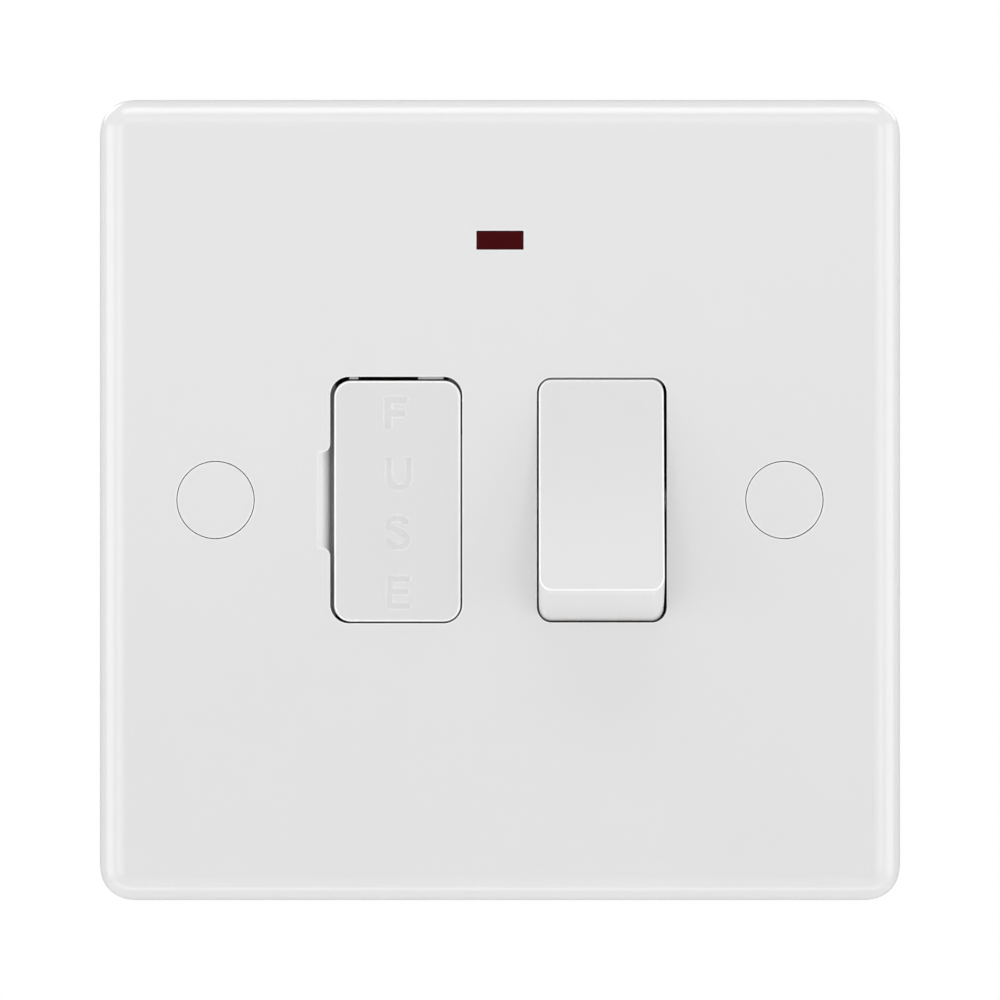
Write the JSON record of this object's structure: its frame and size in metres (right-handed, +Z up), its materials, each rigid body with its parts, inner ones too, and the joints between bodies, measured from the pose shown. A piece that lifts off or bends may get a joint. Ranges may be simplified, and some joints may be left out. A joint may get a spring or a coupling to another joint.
{
  "type": "switched fused spur unit",
  "caption": "White switched fused spur unit for a wall box, with a rocker, a sliding fuse carrier and a neon window.",
  "frame": {"origin": "centre of the plate's rim, in the plane where it meets the wall", "axes": "+X right and +Z up as seen from the front, +Y into the wall"},
  "size_m": [0.086, 0.0344, 0.086],
  "materials": {
    "white_moulding": "gloss",
    "housing_moulding": "satin",
    "grey_moulding": "satin",
    "plated_steel": "zinc plated",
    "terminal_brass": "machined",
    "contact_strip": "rolled",
    "silver": "satin",
    "nickel": "satin",
    "fuse_ceramic": "satin",
    "red_lens": "gloss",
    "lamp_glass": "clear",
    "resistor_body": "satin",
    "wire_sleeve": "satin"
  },
  "bodies": {
    "fixed_unit": {"earth_left_terminal": "terminal_brass", "earth_left_terminal_screw": "plated_steel", "earth_right_terminal": "terminal_brass", "earth_right_terminal_screw": "plated_steel", "earth_strap": "contact_strip", "fixing_screw_left": "plated_steel", "fixing_screw_right": "plated_steel", "front_plate": "white_moulding", "housing_screws": "plated_steel", "live_cradle": "contact_strip", "live_fixed_rivet": "silver", "live_in_terminal": "terminal_brass", "live_in_terminal_screw": "plated_steel", "live_out_terminal": "terminal_brass", "live_out_terminal_screw": "plated_steel", "lower_fuse_clip": "contact_strip", "neon_lamp": "lamp_glass", "neon_leads": "wire_sleeve", "neon_lens": "red_lens", "neon_resistor": "resistor_body", "neutral_cradle": "contact_strip", "neutral_fixed_contact": "contact_strip", "neutral_fixed_rivet": "silver", "neutral_in_terminal": "terminal_brass", "neutral_in_terminal_screw": "plated_steel", "neutral_out_terminal": "terminal_brass", "neutral_out_terminal_screw": "plated_steel", "rear_housing": "housing_moulding", "screw_cap_left": "white_moulding", "screw_cap_right": "white_moulding", "upper_fuse_clip": "contact_strip"},
    "rocker_unit": {"rocker": "white_moulding", "live_plunger_spring": "plated_steel", "neutral_plunger_spring": "plated_steel"},
    "live_plunger_unit": {"live_plunger": "grey_moulding"},
    "neutral_plunger_unit": {"neutral_plunger": "grey_moulding"},
    "live_lever": {"live_seesaw": "contact_strip", "live_moving_rivet": "silver"},
    "neutral_lever": {"neutral_seesaw": "contact_strip", "neutral_moving_rivet": "silver"},
    "fuse_drawer": {"fuse_carrier": "white_moulding", "fuse_barrel": "fuse_ceramic", "fuse_cap_upper": "nickel", "fuse_cap_lower": "nickel"}
  },
  "joints": [
    {"name": "rocker_tip", "type": "hinge", "parent": "fixed_unit", "child": "rocker_unit", "pos_m": [0.01073, -0.0044, 0], "axis": [1, 0, 0], "range_deg": [0, 24.5]},
    {"name": "live_plunger_slide", "type": "slide", "parent": "rocker_unit", "child": "live_plunger_unit", "axis": [0, 0.9772, -0.2122], "range_m": [-0.0006, 0], "stiffness_N_per_m": 300, "springref_m": 0.001},
    {"name": "neutral_plunger_slide", "type": "slide", "parent": "rocker_unit", "child": "neutral_plunger_unit", "axis": [0, 0.9772, -0.2122], "range_m": [-0.0006, 0], "stiffness_N_per_m": 300, "springref_m": 0.001},
    {"name": "live_lever_tip", "type": "hinge", "parent": "fixed_unit", "child": "live_lever", "pos_m": [0.0074, 0.00245, 0], "axis": [1, 0, 0], "range_deg": [-16.01, 0]},
    {"name": "neutral_lever_tip", "type": "hinge", "parent": "fixed_unit", "child": "neutral_lever", "pos_m": [0.0142, 0.00245, 0], "axis": [1, 0, 0], "range_deg": [-16.01, 0]},
    {"name": "fuse_slide", "type": "slide", "parent": "fixed_unit", "child": "fuse_drawer", "axis": [0, -1, 0], "range_m": [0, 0.0165]}
  ],
  "couplings": [
    {"joint": "live_lever_tip", "follows": "rocker_tip", "ratio": -0.653},
    {"joint": "neutral_lever_tip", "follows": "rocker_tip", "ratio": -0.653}
  ]
}
